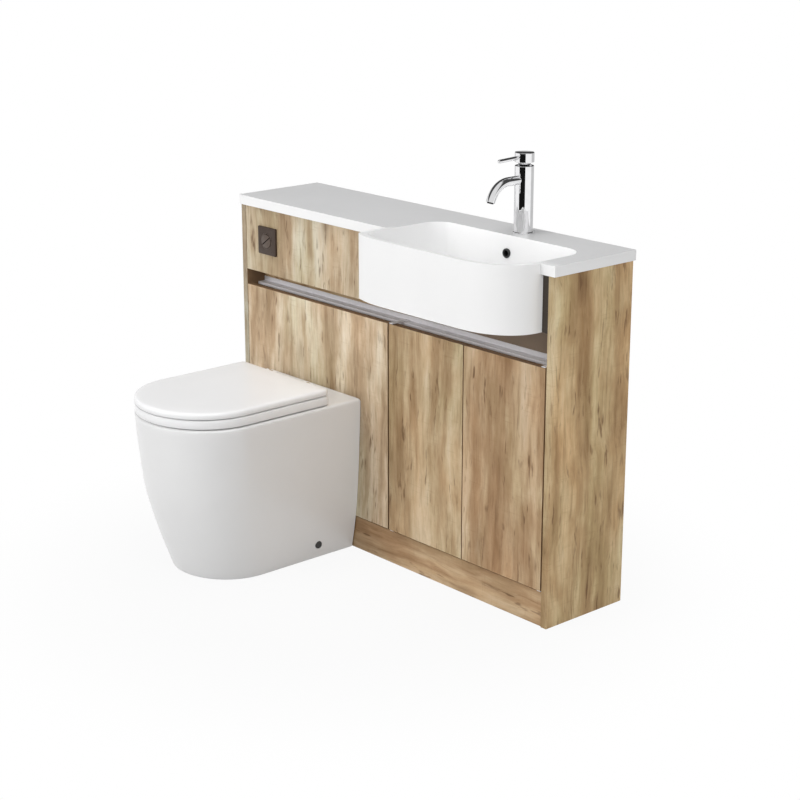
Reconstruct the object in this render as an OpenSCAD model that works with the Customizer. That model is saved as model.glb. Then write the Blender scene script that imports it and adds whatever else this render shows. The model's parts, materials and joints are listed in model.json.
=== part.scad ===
// Combination unit: a back-to-wall toilet and a semi-recessed basin on one slim cabinet.
// Drawn from the cabinet's front left corner at floor level: +X along the front to the right,
// +Y back to the wall, +Z up. at_row() then moves every piece to the part's own origin,
// which is under the middle of the whole unit, on the floor.

/* [Cabinet] */
// Width over the two end panels
cab_w = 1160; // [1140:5:1240]
// Depth from the front faces to the wall
cab_d = 260; // [258:1:300]
// Height of the panels under the worktop
cab_h = 850; // [840:5:870]
// Thickness of the boards and fronts
board = 18; // [17:0.5:18]
// Left edge of the vanity half, where its first door starts
vanity_x = 599; // [597:1:601]
// Height of the plinth board
plinth_h = 87; // [80:1:87]
// Lower edge of the doors and of the lower toilet panel
front_low = 90; // [90:1:92]
// Upper edge of the doors and of the lower toilet panel
front_top = 633; // [631:1:633]
// Lower edge of the upper toilet panel
fascia_low = 675; // [670:1:690]

/* [Handle recess] */
// Height of the aluminium ledge's upper face
ledge_z = 634; // [634:1:636]
// Distance of the ledge's front lip behind the fronts
ledge_y = 36; // [34:1:38]
// Distance of the recess's back wall behind the fronts
recess_y = 60; // [58:1:60]

/* [Worktop and basin] */
// Thickness of the cast worktop
slab_t = 25; // [20:1:30]
// Overhang of the worktop past the fronts
slab_front = 8; // [4:1:12]
// Overhang of the worktop past the right end panel
slab_right = 8; // [4:1:12]
// Left outer face of the basin
basin_x0 = 598; // [597:1:600]
// Right outer face of the basin
basin_x1 = 1123; // [1110:1:1130]
// Furthest reach of the basin in front of the fronts
basin_reach = 118; // [110:1:130]
// Where along the front the basin reaches furthest
basin_peak_x = 965; // [940:5:980]
// Reach of the basin at its square left corner
basin_left_reach = 97; // [88:1:102]
// Height of the basin's lower face above the floor
basin_low = 715; // [712:1:720]
// Depth of the bowl below the worktop's upper face
bowl_deep = 140; // [130:1:142]

/* [Tap] */
// Height of the tap above the worktop
tap_h = 194; // [185:1:215]
// Radius of the tap's column
tap_r = 23; // [20:0.5:24]
// Reach of the spout's outlet in front of the column's axis
spout_reach = 111; // [105:1:130]
// Height of the spout's straight part above the worktop
spout_h = 129; // [120:1:135]

/* [Toilet] */
// Middle of the toilet along the cabinet
wc_x = 304; // [290:1:315]
// Height of the pan's rim
rim_z = 415; // [400:1:430]
// Width of the pan at the rim
pan_w = 372; // [350:1:380]
// Reach of the pan's rim in front of the cabinet
pan_reach = 523; // [500:1:540]
// Width of the lid
lid_w = 358; // [345:1:370]
// Reach of the lid in front of the cabinet
lid_reach = 524; // [510:1:550]
// Distance of the seat's back edge in front of the cabinet
seat_back = 97; // [95:1:105]
// Thickness of the seat ring
seat_t = 22; // [18:1:24]
// Thickness of the lid
lid_t = 17; // [14:1:20]

/* [Cistern and flush plate] */
// Width of the cistern
tank_w = 390; // [340:10:400]
// Height of the cistern's floor
tank_z = 470; // [460:5:480]
// Middle of the flush plate along the cabinet
plate_x = 115; // [95:1:125]
// Middle of the flush plate above the floor
plate_z = 765; // [755:1:775]
// Side of the square flush plate
plate_side = 74; // [72:1:84]

/* [Hidden] */
$fn = 48;
eps = 0.5;
// Gap between neighbouring loose parts that touch in use
slack = 0.2;
// Gap of a turning or sliding fit
run_fit = 0.05;

worktop_z = cab_h + slab_t;
inner_x0 = board;
inner_x1 = cab_w - board;
divider_x1 = vanity_x - 4;
divider_x0 = divider_x1 - board;
carcass_y = board + 4;
wc_front_x1 = vanity_x - 5;
front_gap = 3;
door_edge = 4.5;
door_split = (vanity_x + inner_x1 - door_edge) / 2;
row_x = (cab_w + slab_right) / 2;
row_y = (cab_d - lid_reach) / 2;

// Doors and their pivots
pivot_in = 7;
pivot_r = 2.5;
bush_r = 4.5;
bush_len = 12;
door_l0 = vanity_x;
door_l1 = door_split - front_gap / 2;
door_r0 = door_split + front_gap / 2;
door_r1 = inner_x1 - door_edge;
pivot_left_x = door_l0 + pivot_in;
pivot_right_x = door_r1 - pivot_in;
pivot_y = pivot_in;

// Basin waste and trap
waste_x = 858;
waste_y = 106;
bowl_z = worktop_z - bowl_deep;
bowl_back = 156;
bowl_back_low = 138;
overflow_y = 147.9;
overflow_z = 832;
basin_back = 180;
waste_r = 21;
trap_out_z = 560;

// Tap
tap_x = waste_x;
tap_y = 203;
tap_pivot_z = worktop_z + tap_h - 20;
tap_shoulder_z = tap_pivot_z - 11.7;
dome_r = 17;
cap_r = tap_r + 0.5;
lever_z = worktop_z + tap_h - 10.5;
lever_reach = 87;
lever_tilt = 2.3;
// The spout's bend and its slant from upright at the outlet
spout_bend = 60;
spout_slant = 17;
spout_end_z = worktop_z + spout_h - spout_bend * (1 - sin(spout_slant));

// Toilet
seat_z = rim_z + 3;
hinge_y = -(seat_back - 13);
hinge_z = seat_z + seat_t + 1;
lid_z = hinge_z + 1;
spigot_z = 180;
inlet_z = 345;
sump_y = -270;
post_x = 78;

// Cistern
tank_y0 = 89;
tank_y1 = 239;
tank_h = 330;
tank_wall = 3;
valve_y = 160;
fill_x = wc_x + 136;
tail_z = tank_z - 30;
plate_split = 35;

shelf_z = 330;
shelf_pin_r = 2.4;

// ---- helpers ----------------------------------------------------------------

module at_row() {
  translate([-row_x, -row_y, 0]) children();
}

// A block between two corners
module block(x0, x1, y0, y1, z0, z1) {
  translate([x0, y0, z0]) cube([x1 - x0, y1 - y0, z1 - z0]);
}

module rod_x(x0, x1, y, z, r) {
  translate([x0, y, z]) rotate([0, 90, 0]) cylinder(r = r, h = x1 - x0);
}

module rod_y(x, y0, y1, z, r) {
  translate([x, y0, z]) rotate([-90, 0, 0]) cylinder(r = r, h = y1 - y0);
}

module rod_z(x, y, z0, z1, r) {
  translate([x, y, z0]) cylinder(r = r, h = z1 - z0);
}

// A straight tube along Z
module tube_z(x, y, z0, z1, r_out, r_in) {
  difference() {
    rod_z(x, y, z0, z1, r_out);
    rod_z(x, y, z0 - eps, z1 + eps, r_in);
  }
}

// A round bar between two points of one upright plane x = const
module bar_yz(x, y0, z0, y1, z1, r) {
  span = norm([y1 - y0, z1 - z0]);
  translate([x, y0, z0]) rotate([-atan2(y1 - y0, z1 - z0), 0, 0]) cylinder(r = r, h = span);
}

function arc(cx, cy, rx, ry, a0, a1, n) =
  [for (i = [0:n]) [cx + rx * cos(a0 + (a1 - a0) * i / n), cy + ry * sin(a0 + (a1 - a0) * i / n)]];

// Plan of the toilet: straight sides from the back, then half an ellipse
function nose_plan(half_w, reach, nose, back) =
  concat([[half_w, -back]], arc(0, nose - reach, half_w, nose, 0, -180, 36), [[-half_w, -back]]);

// Plan of an oval
function oval(cy, rx, ry, n = 40) = arc(0, cy, rx, ry, 0, 360 * (n - 1) / n, n - 1);

module slice(points, z, t = 0.5) {
  translate([wc_x, 0, z]) linear_extrude(height = t) polygon(points);
}

// ---- cabinet ----------------------------------------------------------------

module oak() {
  color([0.72, 0.61, 0.47]) at_row() children();
}

module shelf_pin_set(r) {
  for (y = [90, 210]) {
    rod_x(divider_x1 - 8, divider_x1 + 8, y, shelf_z - shelf_pin_r, r);
    rod_x(inner_x1 - 8, inner_x1 + 8, y, shelf_z - shelf_pin_r, r);
  }
}

module end_panel_left() {
  oak() block(0, board, 0, cab_d, 0, cab_h);
}

module end_panel_right() {
  oak() difference() {
    block(inner_x1, cab_w, 0, cab_d, 0, cab_h);
    shelf_pin_set(shelf_pin_r + 0.1);
  }
}

module divider_panel() {
  oak() difference() {
    block(divider_x0, divider_x1, carcass_y, cab_d, 0, cab_h);
    block(divider_x0 - 1, divider_x1 + 1, 0, recess_y, 600, 690);
    shelf_pin_set(shelf_pin_r + 0.1);
  }
}

module vanity_floor() {
  oak() block(divider_x1, inner_x1, carcass_y, cab_d, plinth_h - board, plinth_h);
}

module vanity_shelf() {
  oak() block(divider_x1 + 1, inner_x1 - 1, carcass_y, cab_d - 20, shelf_z, shelf_z + board);
}

module shelf_pins() {
  color("silver") at_row() shelf_pin_set(shelf_pin_r);
}

module plinth() {
  oak() block(inner_x0, inner_x1, 3, 19, 0, plinth_h);
}

module wc_lower_panel() {
  oak() difference() {
    block(inner_x0 + 1.5, wc_front_x1, 0, board, front_low, front_top);
    rod_y(wc_x, -1, board + 1, spigot_z, 62);
    rod_y(wc_x, -1, board + 1, inlet_z, 36);
  }
}

module wc_upper_panel() {
  cut = plate_side - 18;
  oak() difference() {
    block(inner_x0 + 1.5, wc_front_x1, 0, board, fascia_low, cab_h - eps);
    block(plate_x - cut / 2, plate_x + cut / 2, -1, board + 1, plate_z - cut / 2, plate_z + cut / 2);
  }
}

// Aluminium ledge that the fingers reach over to pull the doors
module handle_rail() {
  x0 = inner_x0 + eps;
  x1 = inner_x1 - eps;
  color("silver") at_row() union() {
    block(x0, x1, ledge_y, recess_y, ledge_z - 2, ledge_z);
    block(x0, x1, ledge_y, ledge_y + 2, ledge_z - 7, ledge_z);
    block(x0, x1, recess_y - 2, recess_y, 602, ledge_z + 12);
  }
}

module wc_front_rail() {
  oak() block(inner_x0, divider_x0, recess_y, recess_y + board, 600, 700);
}

module vanity_front_rail() {
  oak() block(divider_x1, inner_x1, recess_y, recess_y + board, 600, basin_low - 15);
}

module wall_rail(x0, x1, z0) {
  oak() difference() {
    block(x0, x1, cab_d - board, cab_d, z0, z0 + 90);
    for (side = [-1, 1])
      rod_y((x0 + x1) / 2 + side * 200, cab_d - board - 1, cab_d + 1, z0 + 45, 3);
  }
}

module wc_wall_rail() {
  wall_rail(inner_x0, divider_x0, cab_h - 105);
}

module vanity_wall_rail() {
  wall_rail(divider_x1, inner_x1, 600);
}

// ---- doors ------------------------------------------------------------------

module door(x0, x1, pivot_x) {
  oak() difference() {
    block(x0, x1, 0, board, front_low, front_top);
    rod_z(pivot_x, pivot_y, front_low - 1, front_low + bush_len, bush_r + run_fit);
    rod_z(pivot_x, pivot_y, front_top - bush_len, front_top + 1, bush_r + run_fit);
  }
}

module door_bushes(pivot_x) {
  color("dimgray") at_row() {
    tube_z(pivot_x, pivot_y, front_low + slack, front_low + bush_len - slack, bush_r, pivot_r + run_fit);
    tube_z(pivot_x, pivot_y, front_top - bush_len + slack, front_top - slack, bush_r, pivot_r + run_fit);
  }
}

module door_left() {
  door(door_l0, door_l1, pivot_left_x);
}

module door_right() {
  door(door_r0, door_r1, pivot_right_x);
}

module door_left_bushes() {
  door_bushes(pivot_left_x);
}

module door_right_bushes() {
  door_bushes(pivot_right_x);
}

// Steel strips with a pin each: one pair over the doors and one pair under them
module door_pivot_brackets() {
  strip = 6;
  color("gray") at_row() for (x = [pivot_left_x, pivot_right_x]) {
    block(x - strip, x + strip, 1, recess_y - 2.5, ledge_z, ledge_z + 2);
    rod_z(x, pivot_y, front_top - bush_len + 1, ledge_z + 1, pivot_r);
    block(x - strip, x + strip, 3, recess_y, plinth_h, plinth_h + 2);
    rod_z(x, pivot_y, plinth_h + 1, front_low + bush_len - 1, pivot_r);
  }
}

// Dark strip that closes the gap between the basin's side and the right end panel
module gap_strip() {
  color([0.25, 0.2, 0.16]) at_row()
    block(basin_x1 + 0.3, inner_x1 - slack, 1, 5, basin_low, cab_h - slack);
}

// ---- worktop and basin ------------------------------------------------------

// Plan of the basin: a tight left corner, a front that soon runs level and a full round to the
// right, drawn inset from its outer face by a distance
function basin_plan(inset, back, corner = 12) =
  let (
    x0 = basin_x0 + inset,
    reach = basin_reach - inset,
    rise = basin_reach - basin_left_reach,
    right = basin_x1 - inset - basin_peak_x,
    lead = 125,
    t0 = corner / lead,
    cy = 0.94 * corner - reach + rise * pow(1 - 0.66 * t0, 2.6)
  )
  concat(
    [[x0, back]],
    arc(x0 + corner, cy, corner, corner, 180, 250, 8),
    [for (i = [1:8]) let (t = t0 + (1 - t0) * i / 8) [x0 + lead * t, rise * pow(1 - t, 2.6) - reach]],
    [for (a = [0:4.5:85.5]) [basin_peak_x + right * pow(sin(a), 0.87), -reach * pow(cos(a), 0.87)]],
    [[basin_x1 - inset, 0], [basin_x1 - inset, back]]
  );

// Plan of the bowl's hollow: the basin's plan moved in, with round back corners
function bowl_plan(inset, corner_r, back) =
  let (front = basin_plan(inset, 0, 34), last = len(front) - 2)
  concat(
    [for (i = [1:last]) front[i]],
    arc(basin_x1 - inset - corner_r, back - corner_r, corner_r, corner_r, 0, 90, 8),
    arc(basin_x0 + inset + corner_r, back - corner_r, corner_r, corner_r, 90, 180, 8)
  );

module bowl_hollow() {
  hull() {
    translate([0, 0, worktop_z + 1]) linear_extrude(height = 0.5) polygon(bowl_plan(13, 55, bowl_back));
    translate([0, 0, bowl_z + 45]) linear_extrude(height = 0.5) polygon(bowl_plan(20, 52, bowl_back_low + 4));
    translate([0, 0, bowl_z + 12]) linear_extrude(height = 0.5) polygon(bowl_plan(34, 46, bowl_back_low));
    translate([0, 0, bowl_z]) linear_extrude(height = 0.5) polygon(bowl_plan(54, 36, bowl_back_low - 2));
  }
}

module worktop_basin() {
  color("white") at_row() difference() {
    union() {
      block(0, cab_w + slab_right, -slab_front, cab_d, cab_h, worktop_z);
      translate([0, 0, basin_low]) linear_extrude(height = worktop_z - basin_low)
        polygon(basin_plan(0, basin_back));
    }
    bowl_hollow();
    rod_z(waste_x, waste_y, basin_low - 1, bowl_z + 1, waste_r + 1);
    rod_z(tap_x, tap_y, cab_h - 1, worktop_z + 1, 17.5);
    rod_y(waste_x, overflow_y - 4, 168, overflow_z, 9);
    block(waste_x - 15, waste_x + 15, 163, 172, basin_low + 4, overflow_z + 6);
    block(waste_x - 15, waste_x + 15, waste_y, 172, basin_low + 4, basin_low + 12);
  }
}

module overflow_ring() {
  color("dimgray") at_row() difference() {
    union() {
      rod_y(waste_x, overflow_y - 3, overflow_y, overflow_z, 12);
      rod_y(waste_x, overflow_y - 1, overflow_y + 6, overflow_z, 8.8);
    }
    rod_y(waste_x, overflow_y - 4, overflow_y + 7, overflow_z, 7.6);
  }
}

// Flanged waste with a cross bar that guides the plug's stem
module waste_body() {
  color("silver") at_row() difference() {
    union() {
      tube_z(waste_x, waste_y, 655, bowl_z + 1, waste_r, 18);
      tube_z(waste_x, waste_y, bowl_z, bowl_z + 3, 28, 18);
      block(waste_x - 19, waste_x + 19, waste_y - 3, waste_y + 3, 686, 694);
      rod_z(waste_x, waste_y, 684, 696, 7);
    }
    rod_z(waste_x, waste_y, 680, 700, 3 + run_fit);
    block(waste_x - 12, waste_x + 12, waste_y, waste_y + 30, basin_low + 4, basin_low + 12);
  }
}

module waste_nut() {
  color("silver") at_row() tube_z(waste_x, waste_y, 703, basin_low - slack, 29, waste_r + slack);
}

module waste_plug() {
  color("silver") at_row() {
    rod_z(waste_x, waste_y, bowl_z + 4, bowl_z + 8, 26);
    rod_z(waste_x, waste_y, 678, bowl_z + 5, 3);
  }
}

module trap_inlet_pipe() {
  color("white") at_row() difference() {
    union() {
      rod_z(waste_x, waste_y, 640, 664, 27);
      rod_z(waste_x, waste_y, trap_out_z - 25, 641, 16);
    }
    rod_z(waste_x, waste_y, trap_out_z - 26, 665, 14);
    rod_z(waste_x, waste_y, 650, 665, waste_r + slack);
  }
}

module trap_bottle() {
  color("white") at_row() difference() {
    union() {
      rod_z(waste_x, waste_y, trap_out_z - 60, trap_out_z + 35, 30);
      rod_z(waste_x, waste_y, trap_out_z - 60, trap_out_z - 35, 32.5);
      rod_y(waste_x, waste_y + 20, waste_y + 55, trap_out_z, 22);
    }
    rod_z(waste_x, waste_y, trap_out_z - 56, trap_out_z + 30, 27);
    rod_z(waste_x, waste_y, trap_out_z + 29, trap_out_z + 36, 16 + slack);
    rod_y(waste_x, waste_y + 15, waste_y + 56, trap_out_z, 16 + slack);
  }
}

module trap_outlet_pipe() {
  color("white") at_row() difference() {
    union() {
      rod_y(waste_x, waste_y + 34, waste_y + 56, trap_out_z, 15.8);
      rod_y(waste_x, waste_y + 55.5, cab_d, trap_out_z, 16);
    }
    rod_y(waste_x, waste_y + 33, cab_d + 1, trap_out_z, 14);
  }
}

// ---- tap --------------------------------------------------------------------

module chrome() {
  color([0.8, 0.82, 0.84]) at_row() children();
}

// Centre line of the spout: forward, then round a wide bend to the slanting outlet
module at_spout_end() {
  translate([tap_x, tap_y - spout_reach, spout_end_z]) rotate([180 - spout_slant, 0, 0]) children();
}

module spout_bar(r, extra) {
  z = worktop_z + spout_h;
  y = tap_y - spout_reach + spout_bend * cos(spout_slant);
  rod_y(tap_x, y, tap_y - 15 + extra, z, r);
  intersection() {
    translate([tap_x, y, z - spout_bend]) rotate([0, 90, 0]) rotate_extrude()
      translate([spout_bend, 0]) circle(r = r);
    block(tap_x - 20, tap_x + 20, y - 100, y, z - 100, z + 20);
    translate([tap_x, y, z - spout_bend]) rotate([extra * 2 - spout_slant, 0, 0])
      block(-20, 20, -100, 100, 0, 100);
  }
}

module tap_body() {
  chrome() difference() {
    union() {
      rod_z(tap_x, tap_y, worktop_z, tap_shoulder_z, tap_r);
      rod_z(tap_x, tap_y, worktop_z, worktop_z + 3, tap_r + 2);
      spout_bar(11, 0);
    }
    spout_bar(8, 1);
    rod_z(tap_x, tap_y, tap_shoulder_z - 42, tap_shoulder_z + 1, 17.5);
    rod_z(tap_x, tap_y, worktop_z - 1, worktop_z + 15, 16 + slack);
    rod_z(tap_x, tap_y, worktop_z + 40, tap_shoulder_z - 40, 8);
    for (side = [-1, 1])
      rod_z(tap_x + side * 5.2, tap_y, worktop_z + 14, worktop_z + 41, 4.5);
  }
}

module tap_aerator() {
  color("gray") at_row() at_spout_end() difference() {
    translate([0, 0, -5]) cylinder(r = 8 - slack, h = 8);
    translate([0, 0, -1]) cylinder(r = 6.5, h = 5);
    for (a = [0:60:300])
      translate([4 * cos(a), 4 * sin(a), -6]) cylinder(r = 1, h = 6);
  }
}

module tap_cartridge() {
  color("dimgray") at_row()
    tube_z(tap_x, tap_y, tap_shoulder_z - 41.5, tap_shoulder_z - 3, 17.5 - slack, 6 + run_fit);
}

// Domed collar on the cartridge's stem, with two side pins that carry the cap
module tap_dome() {
  chrome() {
    intersection() {
      translate([tap_x, tap_y, tap_pivot_z]) sphere(r = dome_r);
      rod_z(tap_x, tap_y, tap_shoulder_z + 0.5, tap_pivot_z + dome_r, dome_r);
    }
    rod_z(tap_x, tap_y, tap_shoulder_z - 30, tap_pivot_z, 6);
    rod_x(tap_x - cap_r + 1, tap_x + cap_r - 1, tap_y, tap_pivot_z, 2);
  }
}

module tap_cap() {
  chrome() difference() {
    rod_z(tap_x, tap_y, tap_pivot_z - 3.5, worktop_z + tap_h, cap_r);
    translate([tap_x, tap_y, tap_pivot_z]) sphere(r = dome_r + 0.3);
    rod_x(tap_x - cap_r + 0.7, tap_x + cap_r - 0.7, tap_y, tap_pivot_z, 2 + run_fit);
    lever_bar(cap_r - 4, cap_r + 2, 4.5 + run_fit);
  }
}

// A bar on the lever's line, between two distances from the column's axis
module lever_bar(from, to, r) {
  translate([tap_x, tap_y, lever_z]) rotate([90 + lever_tilt, 0, 0]) translate([0, 0, from])
    cylinder(r = r, h = to - from);
}

module tap_lever() {
  chrome() lever_bar(cap_r - 3.5, lever_reach, 4.5);
}

module tap_shank() {
  color("goldenrod") at_row() tube_z(tap_x, tap_y, 806, worktop_z + 14, 16, 11);
}

module tap_backnut() {
  color("goldenrod") at_row() tube_z(tap_x, tap_y, 838, cab_h - slack, 22.5, 16 + slack);
}

// ---- toilet pan -------------------------------------------------------------

module china() {
  color([0.96, 0.96, 0.95]) at_row() children();
}

pan_half = pan_w / 2;
pan_back = 1;

module pan_outer() {
  hull() {
    slice(nose_plan(pan_half, pan_reach, 168, pan_back), rim_z - 20, 20);
    slice(nose_plan(177, 505, 160, pan_back), 230);
    slice(nose_plan(171, 487, 154, pan_back), 155);
    slice(nose_plan(162, 464, 148, pan_back), 80);
    slice(nose_plan(147, 436, 140, pan_back), 0);
  }
}

// Open hollow behind and under the bowl
module pan_cavity() {
  wall = 13;
  hull() {
    slice(nose_plan(pan_half - wall, pan_reach - wall, 155, -5), rim_z - 30.3);
    slice(nose_plan(177 - wall, 505 - wall, 148, -5), 230);
    slice(nose_plan(147 - wall, 436 - wall, 128, -5), -1);
  }
}

module bowl_form(grow) {
  hull() {
    slice(oval(-322, 112 + grow, 140 + grow), rim_z - 28 + (grow > 0 ? 0 : 29));
    slice(oval(-318, 100 + grow, 122 + grow), 300);
    slice(oval(-296, 70 + grow, 84 + grow), 185);
    slice(oval(sump_y, 40 + grow, 42 + grow), 105 - grow);
  }
}

// Water way: from the sump up over the weir and back down to the outlet
module trap_way(r) {
  bar_yz(wc_x, sump_y, 140, -160, 212, r);
  bar_yz(wc_x, -182, 209, -96, 179, r);
}

side_hole_y = -120;
side_hole_z = 38;

// Skirt and rim land. The bowl with its water ways is a casting of its own, joined in before firing
module pan() {
  china() difference() {
    pan_outer();
    pan_cavity();
    bowl_form(12);
    bowl_form(0);
    for (side = [-1, 1]) {
      rod_z(wc_x + side * post_x, hinge_y, rim_z - 40, rim_z + 1, 6.5);
      rod_x(wc_x + side * 140 - 30, wc_x + side * 140 + 30, side_hole_y, side_hole_z, 5);
      rod_x(wc_x + side * 170 - 20.5, wc_x + side * 170 + 20.5, side_hole_y, side_hole_z, 10.3);
    }
  }
}

module pan_bowl() {
  china() difference() {
    union() {
      bowl_form(12);
      trap_way(46);
      rod_y(wc_x, -110, -8, spigot_z, 51);
      rod_y(wc_x, -190, -pan_back, inlet_z, 36);
    }
    bowl_form(0);
    trap_way(36);
    rod_y(wc_x, -110, -7, spigot_z, 45);
    rod_y(wc_x, -55, 0, inlet_z, 27.5);
    rod_y(wc_x, -220, -50, inlet_z, 18);
  }
}

module pan_brackets() {
  color("dimgray") at_row() for (side = [-1, 1])
    translate([wc_x, side_hole_y, 0]) mirror([side < 0 ? 1 : 0, 0, 0])
    difference() {
      union() {
        block(84, 128, -16, 16, 0, 6);
        block(108, 128, -16, 16, 0, 56);
      }
      rod_z(96, 0, -1, 7, 4);
      rod_x(107, 129, 0, 38, 3);
    }
}

module pan_screws() {
  color("silver") at_row() for (side = [-1, 1])
    translate([wc_x, side_hole_y, 0]) mirror([side < 0 ? 1 : 0, 0, 0]) {
    rod_x(112, 148, 0, 38, 2.9);
    rod_x(144, 149, 0, 38, 4.7);
  }
}

module pan_screw_caps() {
  color("gray") at_row() for (side = [-1, 1])
    translate([wc_x, side_hole_y, 0]) mirror([side < 0 ? 1 : 0, 0, 0])
      rod_x(149.7, 156.8, 0, 38, 10);
}

module flush_cone() {
  color("dimgray") at_row() difference() {
    rod_y(wc_x, -46, -3, inlet_z, 27.5 - slack);
    rod_y(wc_x, -47, -2, inlet_z, 20 + slack);
  }
}

module pan_connector() {
  color("white") at_row() difference() {
    union() {
      rod_y(wc_x, -52, 26, spigot_z, 60);
      rod_y(wc_x, 25, cab_d, spigot_z, 55);
    }
    rod_y(wc_x, -53, 10, spigot_z, 51 + slack);
    rod_y(wc_x, 9, cab_d + 1, spigot_z, 51);
  }
}

// ---- seat and lid -----------------------------------------------------------

// A hinge knuckle with its web, on both sides of the toilet
module knuckles(x0, x1, web_z0, web_z1) {
  for (side = [-1, 1]) translate([wc_x, 0, 0]) mirror([side < 0 ? 1 : 0, 0, 0]) {
    rod_x(x0, x1, hinge_y, hinge_z, 9);
    block(x0, x1, -seat_back - 6, hinge_y, web_z0, web_z1);
  }
}

module knuckle_bores() {
  for (side = [-1, 1]) translate([wc_x, 0, 0]) mirror([side < 0 ? 1 : 0, 0, 0])
    rod_x(post_x - 30, post_x + 30, hinge_y, hinge_z, 4 + run_fit);
}

module seat() {
  china() difference() {
    union() {
      slice(nose_plan(lid_w / 2 + 2, lid_reach - 1, 165, seat_back), seat_z, seat_t);
      knuckles(post_x + 8, post_x + 20, hinge_z - 9, hinge_z - 2);
    }
    slice(oval(-314, 106, 136), seat_z - 1, seat_t + 2);
    knuckle_bores();
  }
}

module lid() {
  china() difference() {
    union() {
      hull() {
        slice(nose_plan(lid_w / 2, lid_reach, 166, seat_back), lid_z, lid_t - 5);
        slice(nose_plan(lid_w / 2 - 4, lid_reach - 4, 162, seat_back + 4), lid_z + lid_t - 0.5);
      }
      knuckles(post_x - 20, post_x - 8, hinge_z + 1, hinge_z + 9);
    }
    knuckle_bores();
  }
}

module buffers(spots, z0, z1) {
  color("lightgray") at_row() for (p = spots, side = [-1, 1])
    rod_z(wc_x + side * p[0], p[1], z0, z1, 8);
}

module seat_buffers() {
  buffers([[145, -190], [92, -465]], rim_z + 0.1, seat_z);
}

module lid_buffers() {
  buffers([[140, -230], [80, -480]], seat_z + seat_t + 0.1, lid_z);
}

module hinge_posts() {
  color("silver") at_row() for (side = [-1, 1]) translate([wc_x + side * post_x, 0, 0]) difference() {
    union() {
      block(-7, 7, hinge_y - 9, hinge_y + 9, rim_z + 0.1, hinge_z);
      rod_x(-7, 7, hinge_y, hinge_z, 9);
    }
    rod_x(-8, 8, hinge_y, hinge_z, 4 + run_fit);
    rod_z(0, hinge_y, rim_z, rim_z + 12, 4 + run_fit);
  }
}

// The hinge's two pins, and the bolts and nuts that hold its posts
module hinge_fixings() {
  color("silver") at_row() for (side = [-1, 1]) {
    rod_x(wc_x + side * post_x - 20, wc_x + side * post_x + 20, hinge_y, hinge_z, 4);
    rod_z(wc_x + side * post_x, hinge_y, rim_z - 46, rim_z + 11, 4);
    tube_z(wc_x + side * post_x, hinge_y, rim_z - 41, rim_z - 30, 13, 4 + slack);
  }
}

// ---- cistern ----------------------------------------------------------------

module cistern_tank() {
  x0 = wc_x - tank_w / 2;
  x1 = wc_x + tank_w / 2;
  color("whitesmoke") at_row() difference() {
    block(x0, x1, tank_y0, tank_y1, tank_z, tank_z + tank_h);
    block(x0 + tank_wall, x1 - tank_wall, tank_y0 + tank_wall, tank_y1 - tank_wall,
          tank_z + tank_wall, tank_z + tank_h + 1);
    rod_z(wc_x, valve_y, tank_z - 1, tank_z + tank_wall + 1, 24);
    rod_z(fill_x, valve_y, tank_z - 1, tank_z + tank_wall + 1, 10.8);
  }
}

module cistern_cover() {
  x0 = wc_x - tank_w / 2;
  x1 = wc_x + tank_w / 2;
  z = tank_z + tank_h;
  color("whitesmoke") at_row() difference() {
    block(x0 - 3, x1 + 3, tank_y0 - 3, tank_y1 + 3, z - 8, z + 5);
    block(x0 - slack, x1 + slack, tank_y0 - slack, tank_y1 + slack, z - 9, z);
  }
}

// Valve tower: a windowed cage over the outlet, with a guide for the seal's rod on top
module flush_valve() {
  z0 = tank_z + tank_wall;
  color("royalblue") at_row() difference() {
    union() {
      rod_z(wc_x, valve_y, tail_z, z0 + 1, 23.5);
      rod_z(wc_x, valve_y, z0, z0 + 8, 32);
      tube_z(wc_x, valve_y, z0 + 7, z0 + 220, 30, 27);
      rod_z(wc_x, valve_y, z0 + 215, z0 + 220, 28);
    }
    rod_z(wc_x, valve_y, tail_z - 1, z0 + 9, 20);
    rod_z(wc_x, valve_y, z0 + 214, z0 + 221, 4 + run_fit);
    block(wc_x - 40, wc_x + 40, valve_y - 12, valve_y + 12, z0 + 12, z0 + 60);
    block(wc_x - 12, wc_x + 12, valve_y - 40, valve_y + 40, z0 + 12, z0 + 60);
  }
}

module flush_seal() {
  z0 = tank_z + tank_wall + 8.2;
  color("crimson") at_row() {
    rod_z(wc_x, valve_y, z0, z0 + 6, 25);
    rod_z(wc_x, valve_y, z0 + 5, z0 + 250, 4);
  }
}

module fill_valve() {
  z0 = tank_z + tank_wall;
  color("white") at_row() union() {
    rod_z(fill_x, valve_y, tail_z, tank_z - 0.5, 10.4);
    rod_z(fill_x, valve_y, tank_z - 1, z0 + 1, 10.2);
    rod_z(fill_x, valve_y, z0, z0 + 6, 17);
    rod_z(fill_x, valve_y, z0 + 5, z0 + 270, 12);
    rod_z(fill_x, valve_y, z0 + 240, z0 + 285, 20);
  }
}

module fill_float() {
  z0 = tank_z + 140;
  color("lightblue") at_row() tube_z(fill_x, valve_y, z0, z0 + 70, 32, 12.4);
}

// Flush pipe from the cistern's outlet down and forward into the pan
module flush_pipe() {
  bend_r = 45;
  r_out = 19.8;
  r_in = 17.5;
  color("white") at_row() {
    tube_z(wc_x, valve_y, inlet_z + bend_r, tail_z + 12, r_out, r_in);
    translate([wc_x, valve_y - bend_r, inlet_z + bend_r]) rotate([0, 90, 0]) rotate_extrude(angle = 90)
      translate([bend_r, 0]) difference() {
        circle(r = r_out);
        circle(r = r_in);
      }
    difference() {
      rod_y(wc_x, -48, valve_y - bend_r, inlet_z, r_out);
      rod_y(wc_x, -49, valve_y - bend_r + 1, inlet_z, r_in);
    }
  }
}

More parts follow.
